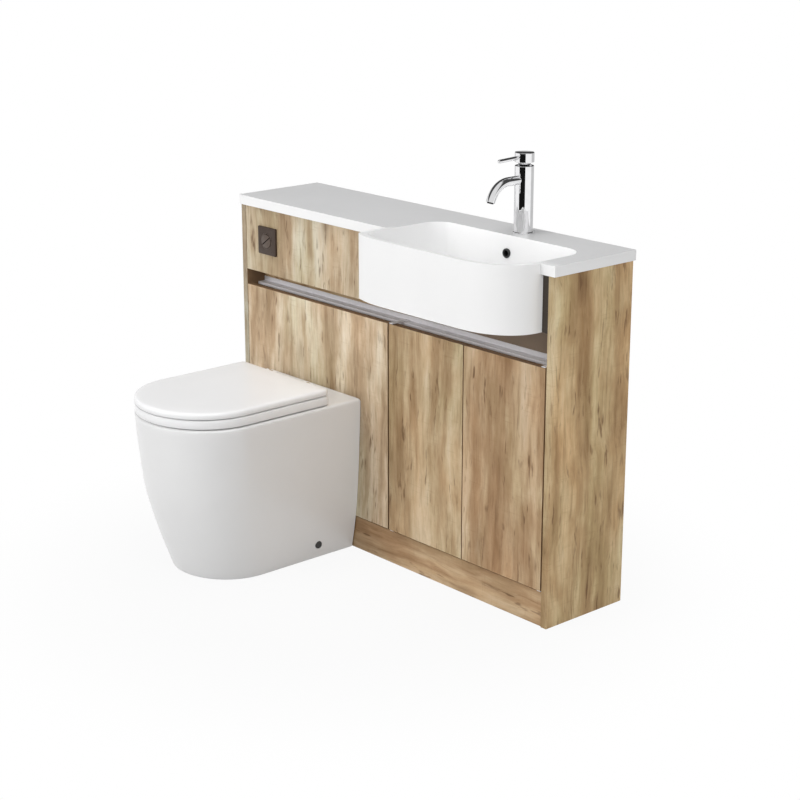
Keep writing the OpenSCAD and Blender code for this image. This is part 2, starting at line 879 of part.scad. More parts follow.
module flush_pipe_nut() {
  color("white") at_row() difference() {
    rod_z(wc_x, valve_y, tail_z - 6, tank_z - slack, 33);
    rod_z(wc_x, valve_y, tail_z - 7, tail_z, 20 + slack);
    rod_z(wc_x, valve_y, tail_z - 0.2, tank_z, 23.5 + slack);
  }
}

// ---- flush plate ------------------------------------------------------------

button_r = 19;

module at_plate() {
  translate([plate_x, 0, plate_z]) children();
}

module flush_plate() {
  h = plate_side / 2;
  color([0.28, 0.25, 0.23]) at_row() at_plate() difference() {
    union() {
      block(-h, h, -6, 0, -h, h);
      rod_y(0, -1, 22, 0, 26);
      block(-26, 26, 18, 22, -26, 26);
      for (side = [-1, 1]) rotate([0, -plate_split, 0]) rod_y(0, 20, 52, side * 10, 9);
    }
    rod_y(0, -7, 18, 0, button_r + 0.4);
    for (side = [-1, 1]) rotate([0, -plate_split, 0]) {
      rod_y(0, 17, 23, side * 10, 4 + run_fit);
      rod_y(0, 22, 49, side * 10, 7);
      rod_y(0, 48, 53, side * 10, 1.5);
    }
  }
}

// Half of the round button on one side of the slanting split, with its stem
module flush_button(side) {
  color([0.33, 0.31, 0.3]) at_row() at_plate() {
    intersection() {
      rod_y(0, -9, 4, 0, button_r);
      rotate([0, -plate_split, 0])
        block(-30, 30, -10, 5, side > 0 ? 0.4 : -30, side > 0 ? 30 : -0.4);
    }
    rotate([0, -plate_split, 0]) rod_y(0, 3, 34, side * 10, 4);
  }
}

module button_full() {
  flush_button(-1);
}

module button_half() {
  flush_button(1);
}

end_panel_left();
end_panel_right();
divider_panel();
vanity_floor();
vanity_shelf();
shelf_pins();
plinth();
wc_lower_panel();
wc_upper_panel();
handle_rail();
wc_front_rail();
vanity_front_rail();
wc_wall_rail();
vanity_wall_rail();
door_left();
door_right();
door_left_bushes();
door_right_bushes();
door_pivot_brackets();
gap_strip();
worktop_basin();
overflow_ring();
waste_body();
waste_nut();
waste_plug();
trap_inlet_pipe();
trap_bottle();
trap_outlet_pipe();
tap_body();
tap_aerator();
tap_cartridge();
tap_dome();
tap_cap();
tap_lever();
tap_shank();
tap_backnut();
pan();
pan_bowl();
pan_brackets();
pan_screws();
pan_screw_caps();
flush_cone();
pan_connector();
seat();
seat_buffers();
lid();
lid_buffers();
hinge_posts();
hinge_fixings();
cistern_tank();
cistern_cover();
flush_valve();
flush_seal();
fill_valve();
fill_float();
flush_pipe();
flush_pipe_nut();
flush_plate();
button_full();
button_half();
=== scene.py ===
import json
import math

import bmesh
import bpy
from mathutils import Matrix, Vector


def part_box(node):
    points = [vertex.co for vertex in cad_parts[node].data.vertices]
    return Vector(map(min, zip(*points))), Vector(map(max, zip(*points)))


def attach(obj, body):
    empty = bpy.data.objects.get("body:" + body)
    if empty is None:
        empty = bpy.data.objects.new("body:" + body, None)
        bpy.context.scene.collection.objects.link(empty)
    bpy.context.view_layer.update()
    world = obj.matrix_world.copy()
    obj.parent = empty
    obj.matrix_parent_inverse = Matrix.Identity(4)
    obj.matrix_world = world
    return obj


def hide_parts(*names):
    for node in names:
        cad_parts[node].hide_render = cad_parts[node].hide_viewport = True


# A toilet and basin combination unit: the CAD's pieces in their materials, with finer meshes for
# the basin, the tap, the toilet and the flush plate

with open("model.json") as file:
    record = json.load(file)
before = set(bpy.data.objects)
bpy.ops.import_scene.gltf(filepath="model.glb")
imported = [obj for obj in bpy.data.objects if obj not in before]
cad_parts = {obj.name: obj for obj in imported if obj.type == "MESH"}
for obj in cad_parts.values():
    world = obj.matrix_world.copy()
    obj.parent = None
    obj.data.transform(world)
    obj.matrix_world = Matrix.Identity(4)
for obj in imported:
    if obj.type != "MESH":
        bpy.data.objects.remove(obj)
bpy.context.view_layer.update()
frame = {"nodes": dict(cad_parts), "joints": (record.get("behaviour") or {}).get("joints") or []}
nodes = frame["nodes"]
scene = bpy.context.scene

# ---- places -----------------------------------------------------------------
# The drawing's own millimetres: x from the cabinet's left end, y from its fronts, z from the floor

MM = 0.001
ORIGIN = Vector([round(v / MM, 1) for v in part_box("end_panel_left")[0]])


def point(x, y, z):
    """A point of the drawing as a place in the scene."""
    return (Vector((x, y, z)) + ORIGIN) * MM


def drawn(place):
    """A place in the scene as a point of the drawing."""
    return [round(c / MM - o, 1) for c, o in zip(place, ORIGIN)]


def drawn_box(node):
    """The lowest and highest point of a CAD node."""
    return [drawn(corner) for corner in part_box(node)]


def middle(node):
    return [(a + b) / 2 for a, b in zip(*drawn_box(node))]


def half_and_reach(node):
    """Half the width of a CAD node, and how far it stands out in front of the cabinet."""
    low, high = drawn_box(node)
    return (high[0] - low[0]) / 2, -low[1]


(TOP_X0, APRON_FRONT, APRON_LOW), (TOP_X1, CABINET_BACK, TOP_Z) = drawn_box("worktop_basin")
SLAB_LOW = drawn_box("end_panel_right")[1][2]
SLAB_FRONT = -8
BASIN_X0, BASIN_X1, BASIN_PEAK_X = 598, 1123, 965
BASIN_REACH = -APRON_FRONT
BASIN_FLOOR_Z = TOP_Z - 140
WASTE_X, WASTE_Y, _ = middle("waste_body")
OVERFLOW_X, _, OVERFLOW_Z = middle("overflow_ring")
TAP_X, TAP_Y, _ = middle("tap_cap")
WC_X = middle("pan")[0]
RIM_Z = drawn_box("pan")[1][2]
SEAT_Z = drawn_box("seat")[0][2]
LID_TOP = drawn_box("lid")[1][2]
seat_hinge = next(joint for joint in frame["joints"] if joint["name"] == "seat_hinge")
_, HINGE_Y, HINGE_Z = drawn(seat_hinge["pos_m"])
PLATE_X, _, PLATE_Z = middle("flush_plate")


# ---- node trees -------------------------------------------------------------

class Tree:
    """A node tree with short calls for its nodes."""

    def __init__(self, owner):
        owner.use_nodes = True
        self.nodes = owner.node_tree.nodes
        self.links = owner.node_tree.links

    def node(self, kind, **props):
        n = self.nodes.new(kind)
        for k, v in props.items():
            setattr(n, k, v)
        return n

    def link(self, a, b):
        self.links.new(a, b)

    def plug(self, socket, value):
        """Links an output to the socket, or sets the socket's own number or colour."""
        if isinstance(value, bpy.types.NodeSocket):
            self.link(value, socket)
        elif isinstance(value, tuple):
            socket.default_value = (*value, 1)
        else:
            socket.default_value = value

    def math(self, op, a, b=0.0):
        n = self.node("ShaderNodeMath", operation=op)
        self.plug(n.inputs[0], a)
        self.plug(n.inputs[1], b)
        return n.outputs[0]

    def remap(self, value, lo, hi, start=0.0, end=1.0, kind="LINEAR"):
        n = self.node("ShaderNodeMapRange", interpolation_type=kind)
        n.inputs["From Min"].default_value = start
        n.inputs["From Max"].default_value = end
        n.inputs["To Min"].default_value = lo
        n.inputs["To Max"].default_value = hi
        self.link(value, n.inputs["Value"])
        return n.outputs["Result"]

    def fade(self, value, start, end, lo=0.0, hi=1.0):
        return self.remap(value, lo, hi, start, end, "SMOOTHSTEP")

    def coords(self, kind):
        return self.node("ShaderNodeTexCoord").outputs[kind]

    def split(self, vector):
        n = self.node("ShaderNodeSeparateXYZ")
        self.link(vector, n.inputs[0])
        return n.outputs

    def sees(self, *rays):
        """1 for any of the named kinds of ray."""
        path = self.node("ShaderNodeLightPath")
        out = path.outputs[rays[0]]
        for name in rays[1:]:
            out = self.math("MAXIMUM", out, path.outputs[name])
        return out

    def shader(self, kind, color, strength=None):
        n = self.node(kind)
        self.plug(n.inputs["Color"], color)
        if strength is not None:
            self.plug(n.inputs["Strength"], strength)
        return n.outputs[0]

    def choose(self, fac, a, b):
        """Shader a where fac is 0 and b where it is 1."""
        n = self.node("ShaderNodeMixShader")
        for socket, out in zip(n.inputs, (fac, a, b)):
            self.link(out, socket)
        return n.outputs[0]


def bare_tree(owner, output):
    """An empty tree and the socket of its output node."""
    tree = Tree(owner)
    tree.nodes.clear()
    return tree, tree.node(output).inputs[0]


class Surface(Tree):
    """A Principled material with short calls for the nodes in front of it."""

    def __init__(self, name, color=(0.8, 0.8, 0.8), rough=0.5, metal=0.0, **sockets):
        self.material = bpy.data.materials.new(name)
        super().__init__(self.material)
        self.sockets = self.nodes["Principled BSDF"].inputs
        self.sockets["Base Color"].default_value = (*color, 1)
        self.sockets["Roughness"].default_value = rough
        self.sockets["Metallic"].default_value = metal
        for k, v in sockets.items():
            self.sockets[k.replace("_", " ")].default_value = v
        self.coord = self.coords("Object")

    def to(self, out, socket):
        self.link(out, self.sockets[socket])

    def mapped(self, scale, loc=(0, 0, 0), rot=(0, 0, 0), src=None):
        n = self.node("ShaderNodeMapping")
        n.inputs["Scale"].default_value = scale
        n.inputs["Location"].default_value = loc
        n.inputs["Rotation"].default_value = rot
        self.link(src or self.coord, n.inputs["Vector"])
        return n.outputs["Vector"]

    def noise(self, scale, detail, rough, src=None):
        """Noise with so many lumps to the metre along x, y and z."""
        n = self.node("ShaderNodeTexNoise")
        n.inputs["Scale"].default_value = 1.0
        n.inputs["Detail"].default_value = detail
        n.inputs["Roughness"].default_value = rough
        self.link(self.mapped(scale, src=src), n.inputs["Vector"])
        return n.outputs["Fac"]

    def ramp(self, fac, *stops):
        n = self.node("ShaderNodeValToRGB")
        e = n.color_ramp.elements
        while len(e) < len(stops):
            e.new(0.5)
        for el, (pos, col) in zip(e, stops):
            el.position = pos
            el.color = (*col, 1) if isinstance(col, tuple) else (col, col, col, 1)
        self.link(fac, n.inputs["Fac"])
        return n.outputs["Color"]

    def mix(self, kind, fac, a, b):
        n = self.node("ShaderNodeMix", data_type="RGBA", blend_type=kind)
        # the sockets of the colour version: factor, A and B
        for i, value in ((0, fac), (6, a), (7, b)):
            self.plug(n.inputs[i], value)
        return n.outputs[2]

    def bump(self, height, strength, dist=0.001):
        n = self.node("ShaderNodeBump")
        n.inputs["Strength"].default_value = strength
        n.inputs["Distance"].default_value = dist
        self.link(height, n.inputs["Height"])
        self.to(n.outputs["Normal"], "Normal")


# ---- studio -----------------------------------------------------------------

scene.view_settings.view_transform = "Standard"

# The camera that fits the photo's edges: focal length and frame in pixels, place in the drawing
FOCAL_PX, FRAME_PX, SENSOR_MM = 1811.4, 800, 36.0
CAMERA_AT = (3872.3, -2848.6, 1757.7)
AZIMUTH, ELEVATION = math.radians(48.6), math.radians(16.94)


def add_camera():
    cam = bpy.data.cameras.new("camera")
    cam.sensor_width = SENSOR_MM
    cam.lens = FOCAL_PX / FRAME_PX * SENSOR_MM
    cam.clip_end = 100
    ob = bpy.data.objects.new("camera", cam)
    scene.collection.objects.link(ob)
    ob.location = point(*CAMERA_AT)
    ob.rotation_euler = (math.pi / 2 - ELEVATION, 0, AZIMUTH)
    scene.camera = ob


def area_light(name, at, aim, size, power):
    light = bpy.data.lights.new(name, "AREA")
    light.energy = power
    light.size = size
    ob = bpy.data.objects.new(name, light)
    scene.collection.objects.link(ob)
    ob.location = at
    ob.rotation_euler = (Vector(aim) - Vector(at)).to_track_quat("-Z", "Y").to_euler()
    ob.visible_glossy = False


def add_world(light=0.42, gloss_tone=0.8, dim=0.08):
    """White all round, with a dim back and left side of the studio that only gloss shows."""
    world = bpy.data.worlds.new("studio")
    scene.world = world
    tree, output = bare_tree(world, "ShaderNodeOutputWorld")
    x, y, z = tree.split(tree.coords("Generated"))
    left = tree.math("MULTIPLY", tree.fade(x, -0.08, -0.22), tree.fade(z, 0.3, 0.45))
    back = tree.math("MULTIPLY", tree.fade(z, 0.05, 0.15), tree.fade(y, 0.1, 0.4))
    glow = tree.fade(tree.math("MAXIMUM", back, left), 0, 1, 1.0, dim)
    lit = tree.shader("ShaderNodeBackground", (1, 1, 1), light)
    seen = tree.shader("ShaderNodeBackground", (gloss_tone,) * 3, glow)
    plain_white = tree.shader("ShaderNodeBackground", (1, 1, 1), 1.0)
    light_or_gloss = tree.choose(tree.sees("Is Glossy Ray"), lit, seen)
    straight = tree.sees("Is Camera Ray", "Is Transmission Ray")
    tree.link(tree.choose(straight, light_or_gloss, plain_white), output)


# The screens curve round a place close to the tap
SCREEN_X = 0.27


def card(name, radius, a0, a1, z0, z1, tone, steps=24):
    """A curved screen, from angle a0 to a1 and height z0 to z1, that only reflections show."""
    bm = bmesh.new()
    prev = None
    for i in range(steps + 1):
        a = math.radians(a0 + (a1 - a0) * i / steps)
        x, y = SCREEN_X + radius * math.cos(a), radius * math.sin(a)
        pair = [bm.verts.new((x, y, z0)), bm.verts.new((x, y, z1))]
        if prev:
            bm.faces.new((prev[0], pair[0], pair[1], prev[1]))
        prev = pair
    mat = bpy.data.materials.new(name)
    tree, output = bare_tree(mat, "ShaderNodeOutputMaterial")
    tree.link(tree.shader("ShaderNodeEmission", (tone, tone, tone)), output)
    ob = new_object(name, bm)
    ob.data.materials.append(mat)
    ob.visible_camera = ob.visible_diffuse = ob.visible_shadow = False
    ob.visible_transmission = ob.visible_volume_scatter = False


def new_object(name, bm):
    me = bpy.data.meshes.new(name)
    bm.to_mesh(me)
    bm.free()
    ob = bpy.data.objects.new(name, me)
    scene.collection.objects.link(ob)
    return ob


def add_floor(half=12, level=-0.0005, grey=0.5, near=0.45, far=1.1):
    """Pure white farther than far from the object, with its soft shadow left nearer by."""
    bm = bmesh.new()
    corners = ((-half, -half), (half, -half), (half, half), (-half, half))
    bm.faces.new([bm.verts.new((x, y, level)) for x, y in corners])
    mat = bpy.data.materials.new("floor")
    tree, output = bare_tree(mat, "ShaderNodeOutputMaterial")
    length = tree.node("ShaderNodeVectorMath", operation="LENGTH")
    tree.link(tree.coords("Object"), length.inputs[0])
    white = tree.math("MULTIPLY", tree.sees("Is Camera Ray", "Is Glossy Ray", "Is Transmission Ray"),
                      tree.fade(length.outputs["Value"], near, far, 0.92, 1.0))
    diffuse = tree.shader("ShaderNodeBsdfDiffuse", (grey, grey, grey))
    tree.link(tree.choose(white, diffuse, tree.shader("ShaderNodeEmission", (1, 1, 1))), output)
    ob = new_object("floor", bm)
    ob.data.materials.append(mat)


add_camera()
area_light("key", (-1.4, -3.9, 2.0), (0, 0, 0.5), 2.6, 102)
area_light("fill", (3.8, -1.2, 1.7), (0.2, 0, 0.5), 2.4, 50)
area_light("top", (0.1, -0.3, 3.6), (0, 0, 0.4), 2.4, 64)
add_world()
card("dark_screen", 3.0, -106, -27, 0.25, 1.3, 0.008)
card("grey_screen", 3.0, 50, 178, 0.0, 1.2, 0.6)


# ---- materials --------------------------------------------------------------

def linear(*rgb):
    """An 8-bit screen colour as the numbers that a shader takes."""
    return tuple(v / 255 / 12.92 if v / 255 <= 0.04045 else ((v / 255 + 0.055) / 1.055) ** 2.4
                 for v in rgb)


OAK_DARK, OAK_LOW, OAK_MID = (112, 82, 54), (150, 119, 84), (182, 153, 117)
OAK_HIGH, OAK_PALE = (206, 182, 147), (222, 203, 173)
# the colour of the painted shade on edges in gaps and recesses
OAK_SHADE = (126, 100, 74)
WHITE = (1.0, 1.0, 1.0)


def facing(m, face):
    """1 on the faces that look along face, such as +X, and 0 on the rest."""
    along = m.split(m.coords("Normal"))["XYZ".index(face[1])]
    if face[0] == "+":
        return m.remap(along, 0, 1, 0.8, 0.95)
    return m.remap(along, 1, 0, -0.95, -0.8)


def wood(name, seed, along="z", tone=WHITE, shaded_faces="", edge=1.0):
    """Rustic oak decor: soft light and dark strips, patches, broken streaks and short cracks.

    Tone scales the oak's colours, shaded_faces get a painted shade, and edge dims the front edge band.
    """
    m = Surface(name, rough=0.5, Specular_IOR_Level=0.3)
    turn = {"z": (0, 0, 0), "x": (0, math.pi / 2, 0)}[along]
    board = m.mapped((1, 1, 1), (seed * 1.37, seed * 0.71, seed * 0.93), turn)

    # the grain runs along z and wavers a little from side to side
    waver = m.noise((5, 5, 3.5), 3, 0.5, board)
    sideways = m.node("ShaderNodeCombineXYZ")
    m.link(waver, sideways.inputs[0])
    m.link(waver, sideways.inputs[1])
    bent = m.node("ShaderNodeVectorMath", operation="MULTIPLY_ADD")
    m.link(sideways.outputs[0], bent.inputs[0])
    bent.inputs[1].default_value = (0.045, 0.045, 0.0)
    m.link(board, bent.inputs[2])
    grain = bent.outputs[0]

    strips = m.noise((12, 12, 1.2), 1.5, 0.5, grain)
    bands = m.noise((36, 36, 3.4), 3, 0.55, grain)
    patch = m.noise((24, 24, 9), 4, 0.6, grain)
    streak = m.noise((105, 105, 7), 4, 0.62, grain)
    fine = m.noise((380, 380, 20), 3, 0.65, grain)
    crack = m.noise((78, 78, 12), 2.5, 0.6, grain)
    saw = m.noise((14, 14, 190), 3, 0.6, grain)
    tint = m.noise((9, 9, 3.5), 2, 0.5, grain)
    dark, low, mid, high, pale = (
        tuple(v * t for v, t in zip(linear(*c), tone))
        for c in (OAK_DARK, OAK_LOW, OAK_MID, OAK_HIGH, OAK_PALE)
    )

    # broad strips, bands and patches, then streaks and pores over them
    broad = m.math("ADD", m.math("MULTIPLY", strips, 0.42),
                   m.math("ADD", m.math("MULTIPLY", bands, 0.33), m.math("MULTIPLY", patch, 0.25)))
    col = m.ramp(m.remap(broad, 0, 1, 0.36, 0.63), (0.0, low), (0.4, mid), (0.68, high), (1.0, pale))
    col = m.mix("MULTIPLY", 0.8, col,
                m.ramp(streak, (0.3, (0.70, 0.64, 0.57)), (0.48, WHITE), (0.75, (1.07, 1.07, 1.06))))
    col = m.mix("MULTIPLY", 0.4, col,
                m.ramp(fine, (0.3, (0.78, 0.74, 0.70)), (0.6, (1.03, 1.03, 1.03))))

    # saw marks across the grain, and a warmer or greener cast from place to place
    marks = m.math("MULTIPLY", m.ramp(saw, (0.0, 1.0), (0.34, 1.0), (0.44, 0.0)),
                   m.ramp(patch, (0.46, 0.0), (0.6, 0.45)))
    col = m.mix("MULTIPLY", marks, col, (0.80, 0.76, 0.71))
    col = m.mix("MULTIPLY", 0.7, col,
                m.ramp(tint, (0.3, (1.07, 0.97, 0.90)), (0.5, WHITE), (0.7, (0.93, 1.0, 0.95))))

    # short dark cracks, most of them in the darker patches, and knots
    cracked = m.math("MULTIPLY", m.ramp(crack, (0.0, 1.0), (0.32, 1.0), (0.39, 0.0)),
                     m.ramp(patch, (0.4, 0.85), (0.62, 0.25)))
    col = m.mix("MIX", cracked, col, dark)
    cells = m.node("ShaderNodeTexVoronoi")
    cells.inputs["Scale"].default_value = 1.0
    m.link(m.mapped((8.5, 8.5, 3.2), src=grain), cells.inputs["Vector"])
    knot = m.ramp(cells.outputs["Distance"], (0.0, 1.0), (0.07, 0.75), (0.22, 0.0))
    col = m.mix("MIX", m.math("MULTIPLY", knot, 0.5), col, dark)

    if shaded_faces:
        # painted shade: edges that face the gaps and the recess are darkened where shade falls in them
        shade_mask, *others = [facing(m, face) for face in shaded_faces.split()]
        for other in others:
            shade_mask = m.math("MAXIMUM", shade_mask, other)
        col = m.mix("MIX", shade_mask, col, linear(*OAK_SHADE))
    if edge != 1.0:
        # faces that look to the front are dimmed to edge times the board's colour
        col = m.mix("MULTIPLY", facing(m, "-Y"), col, (edge, edge, edge))
    m.to(col, "Base Color")
    m.to(m.remap(fine, 0.42, 0.62), "Roughness")
    relief = m.math("ADD", m.math("MULTIPLY", streak, 0.6), m.math("MULTIPLY", crack, 0.4))
    m.bump(relief, 0.3, 0.0004)
    return m.material


def glaze(name, color, rough, bump, coat, coat_rough, shades=None):
    """White ware: a very faint ripple and pinhole speckle under a clear gloss."""
    m = Surface(name, color, rough, Coat_Weight=coat, Coat_Roughness=coat_rough, Specular_IOR_Level=0.5)
    cloud = m.noise((6, 6, 6), 3, 0.5)
    ripple = m.noise((60, 60, 60), 2, 0.5)
    speck = m.noise((1400, 1400, 1400), 1, 0.5)
    col = m.mix("MULTIPLY", 1.0, color, m.ramp(cloud, (0.3, 0.975), (0.7, 1.0)))
    col = m.mix("MULTIPLY", 1.0, col, m.ramp(speck, (0.25, 0.94), (0.34, 1.0)))
    if shades:
        col = shades(m, col)
    m.to(col, "Base Color")
    m.to(m.remap(ripple, rough * 0.9, rough * 1.12), "Roughness")
    m.bump(ripple, bump, 0.0008)
    return m.material


def worktop_painted_shade(m, col):
    """Painted shade: the flat worktop a shade greyer than the basin cast into it, though both are the
    same resin, and the overflow channel painted near black inside.
    """
    top_painted_shade = (0.81, 0.81, 0.815)
    channel_r, channel_y = 9.3, 150.5
    x, y, z = m.split(m.coord)
    up = m.split(m.coords("Normal"))[2]
    # the rim in front of the bowl, right of the basin's left edge, is left out of the painted shade and
    # stays as white as the basin
    rim_x0, rim_y0, _ = point(BASIN_X0 - 6, SLAB_FRONT + 1, 0)
    rim_x1, rim_y1, _ = point(BASIN_X0 + 2, SLAB_FRONT + 31, 0)
    rim = m.math("MULTIPLY", m.remap(x, 0, 1, rim_x0, rim_x1), m.remap(y, 1, 0, rim_y0, rim_y1))
    # painted shade: faces that look up, at the top's height, are greyed
    level = m.remap(z, 0, 1, (TOP_Z - 1.5) * MM, (TOP_Z - 0.5) * MM)
    flat = m.math("MULTIPLY", m.remap(up, 0, 1, 0.9, 0.99), level)
    col = m.mix("MULTIPLY", m.math("MULTIPLY", flat, m.math("SUBTRACT", 1.0, rim)), col, top_painted_shade)

    # painted shade: the inside of the overflow's bore is painted near black
    bore_x, bore_y, bore_z = point(OVERFLOW_X, channel_y, OVERFLOW_Z)
    dx = m.math("POWER", m.math("SUBTRACT", x, bore_x), 2.0)
    dz = m.math("POWER", m.math("SUBTRACT", z, bore_z), 2.0)
    inside = m.math("MULTIPLY", m.math("LESS_THAN", m.math("ADD", dx, dz), (channel_r * MM) ** 2),
                    m.math("GREATER_THAN", y, bore_y))
    return m.mix("MIX", inside, col, (0.01, 0.01, 0.01))


def metal(name, color, rough, brush=None, bump=0.03, metallic=1.0):
    """Polished metal with faint smears, or brushed along one axis."""
    m = Surface(name, color, rough, metallic)
    scale = {"x": (8, 900, 900), "z": (900, 900, 8), None: (90, 90, 90)}[brush]
    line = m.noise(scale, 3, 0.6)
    smear = m.noise((18, 18, 18), 4, 0.6)
    spread = 0.5 if brush else 0.9
    both = m.math("ADD", m.math("MULTIPLY", line, 0.5), m.math("MULTIPLY", smear, 0.5))
    m.to(m.remap(both, rough * (1 - spread), rough * (1 + spread), 0.3, 0.7), "Roughness")
    m.to(m.mix("MULTIPLY", 1.0, color, m.ramp(line, (0.3, 0.93), (0.7, 1.0))), "Base Color")
    m.bump(line, bump if brush else bump * 0.3, 0.0002)
    return m.material


def plastic(name, color, rough=0.45, grain=900, bump=0.12):
    """Moulded plastic or rubber with a fine spark-eroded grain and faint dust."""
    m = Surface(name, color, rough, Specular_IOR_Level=0.4)
    sparks = m.noise((grain, grain, grain), 3, 0.6)
    dust = m.noise((14, 14, 14), 4, 0.6)
    m.to(m.mix("MULTIPLY", 1.0, color, m.ramp(dust, (0.3, 0.93), (0.7, 1.03))), "Base Color")
    m.to(m.remap(sparks, rough * 0.8, rough * 1.2), "Roughness")
    m.bump(sparks, bump, 0.0003)
    return m.material


# Each board has a tone of its own, because the photo shows their decor and light so
# the fronts' side and top edges, which get a painted shade
SHADED_FRONT_EDGES = "+X -X +Z"
oak_door_l = wood("oak_door_left", 1.0, tone=(0.877, 0.889, 0.883), shaded_faces=SHADED_FRONT_EDGES)
oak_door_r = wood("oak_door_right", 2.3, tone=(0.846, 0.811, 0.803), shaded_faces=SHADED_FRONT_EDGES)
oak_wc = wood("oak_wc_panel", 3.1, tone=(1.07, 1.185, 1.387), shaded_faces=SHADED_FRONT_EDGES)
oak_fascia = wood("oak_fascia", 4.7, tone=(0.88, 0.955, 1.08))
oak_end = wood("oak_ends", 5.9, tone=(1.063, 1.057, 0.965), edge=0.72)
# the left end's inner face, in the recess, gets a painted shade
oak_end_l = wood("oak_end_left", 7.3, tone=(0.825, 1.013, 1.298), shaded_faces="+X")
oak_flat = wood("oak_rails", 6.4, along="x", tone=(0.82, 0.79, 0.77))
ware = glaze("glazed_china", (0.74, 0.74, 0.74), 0.3, 0.04, 0.35, 0.22)
# the worktop's resin carries painted shade on its flat top and in the overflow's bore
resin = glaze("cast_resin", (0.83, 0.83, 0.83), 0.32, 0.03, 0.4, 0.2, worktop_painted_shade)
seat_white = glaze("seat_plastic", (0.80, 0.80, 0.805), 0.3, 0.02, 0.3, 0.2)
chrome = metal("chrome_plate", (0.9, 0.9, 0.91), 0.02, bump=0.0)
aluminium = metal("brushed_aluminium", (0.77, 0.755, 0.775), 0.42, "x", 0.08, 0.15)
zinc = metal("zinc_steel", (0.62, 0.62, 0.61), 0.34, "z", 0.08)
brass = metal("turned_brass", (0.72, 0.55, 0.27), 0.28, "z", 0.08)
gunmetal = metal("gunmetal_plate", (0.076, 0.054, 0.043), 0.42, "x", 0.06, 0.7)
gunmetal_button = metal("gunmetal_button", (0.125, 0.095, 0.078), 0.36, "z", 0.05, 0.7)
# a dark brown board that stands in for the shade on the rail at the back of the recess
dark_board = plastic("dark_board", (0.23, 0.172, 0.125), 0.7, 260, 0.2)
# a near-black strip that stands in for the shade in the gap beside the basin
painted_shadow_strip = plastic("painted_shadow_strip", (0.05, 0.039, 0.03), 0.7, 260, 0.2)
black = plastic("black_nylon", (0.03, 0.03, 0.03), 0.5)
rubber = plastic("grey_rubber", (0.09, 0.09, 0.09), 0.7)
clear_pad = plastic("buffer_rubber", (0.35, 0.35, 0.34), 0.6)
white_plastic = plastic("white_plastic", (0.78, 0.78, 0.77), 0.35, 500, 0.06)
blue_plastic = plastic("blue_plastic", (0.10, 0.20, 0.42), 0.35, 500, 0.06)
red_rubber = plastic("red_rubber", (0.42, 0.05, 0.04), 0.6)


# ---- carried-over CAD nodes -------------------------------------------------

def dress(mat, bevel, *names):
    """Gives CAD nodes a material and, where bevel isn't 0, soft edges of that many millimetres."""
    for name in names:
        ob = nodes[name]
        ob.data.materials.clear()
        ob.data.materials.append(mat)
        weld = ob.modifiers.new("weld", "WELD")
        weld.merge_threshold = 0.00002
        if bevel:
            edge = ob.modifiers.new("edge", "BEVEL")
            edge.width = bevel * MM
            edge.segments = 2
            edge.limit_method = "ANGLE"
            edge.angle_limit = math.radians(40)
            edge.harden_normals = False
            shade = ob.modifiers.new("shade", "WEIGHTED_NORMAL")
            shade.keep_sharp = True


dress(oak_end_l, 0.8, "end_panel_left")
dress(oak_end, 0.8, "end_panel_right", "divider_panel")
dress(oak_wc, 0.8, "wc_lower_panel")
dress(oak_fascia, 0.8, "wc_upper_panel")
dress(oak_door_l, 0.8, "door_left")
dress(oak_door_r, 0.8, "door_right")
dress(oak_flat, 0.8, "vanity_floor", "vanity_shelf", "plinth", "wc_front_rail")
dress(oak_flat, 0, "wc_wall_rail", "vanity_wall_rail")
# painted shadow: the back rail of the recess under the basin is made dark brown for the basin's shade
dress(dark_board, 0.5, "vanity_front_rail")
# painted shadow: the strip in the gap beside the basin is made near black
dress(painted_shadow_strip, 0.5, "gap_strip")
dress(aluminium, 0.2, "handle_rail", "door_pivot_brackets")
dress(zinc, 0.3, "shelf_pins", "pan_screws", "hinge_fixings")
dress(black, 0.3, "door_left_bushes", "door_right_bushes", "pan_brackets", "pan_screw_caps",
      "tap_cartridge")
dress(rubber, 0.3, "flush_cone")
dress(clear_pad, 0.3, "seat_buffers", "lid_buffers")
dress(white_plastic, 0.5, "waste_nut", "trap_inlet_pipe", "trap_bottle", "trap_outlet_pipe",
      "pan_connector", "flush_pipe", "flush_pipe_nut", "cistern_tank", "cistern_cover", "fill_valve")
dress(blue_plastic, 0.4, "flush_valve", "fill_float")
dress(red_rubber, 0.4, "flush_seal")
dress(brass, 0.3, "tap_shank", "tap_backnut")
dress(black, 0.2, "tap_aerator")
dress(chrome, 0.2, "tap_dome")
dress(chrome, 0.4, "waste_body", "hinge_posts")


# ---- mesh helpers -----------------------------------------------------------

def finish_mesh(name, bm, mat, body, replaces, smooth, bevel=None):
    """Smooth shading, crisp above so many degrees; bevel is (mm, segments, from what angle)."""
    bmesh.ops.recalc_face_normals(bm, faces=bm.faces)
    ob = new_object(name, bm)
    ob.data.materials.append(mat)
    for p in ob.data.polygons:
        p.use_smooth = True
    if bevel:
        width, segments, angle = bevel
        b = ob.modifiers.new("edge", "BEVEL")
        b.width = width * MM
        b.segments = segments
        b.limit_method = "ANGLE"
        b.angle_limit = math.radians(angle)
        b.harden_normals = True
    set_sharp(ob, smooth)
    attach(ob, body)
    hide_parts(*replaces)


def set_sharp(ob, degrees):
    """Edges steeper than this stay crisp in the shading."""
    bm = bmesh.new()
    bm.from_mesh(ob.data)
    for e in bm.edges:
        if len(e.link_faces) == 2 and e.calc_face_angle(0) > math.radians(degrees):
            e.smooth = False
    bm.to_mesh(ob.data)
    bm.free()


def solid(name, bm):
    """A plain object for the boolean steps."""
    bmesh.ops.recalc_face_normals(bm, faces=bm.faces)
    return new_object(name, bm)


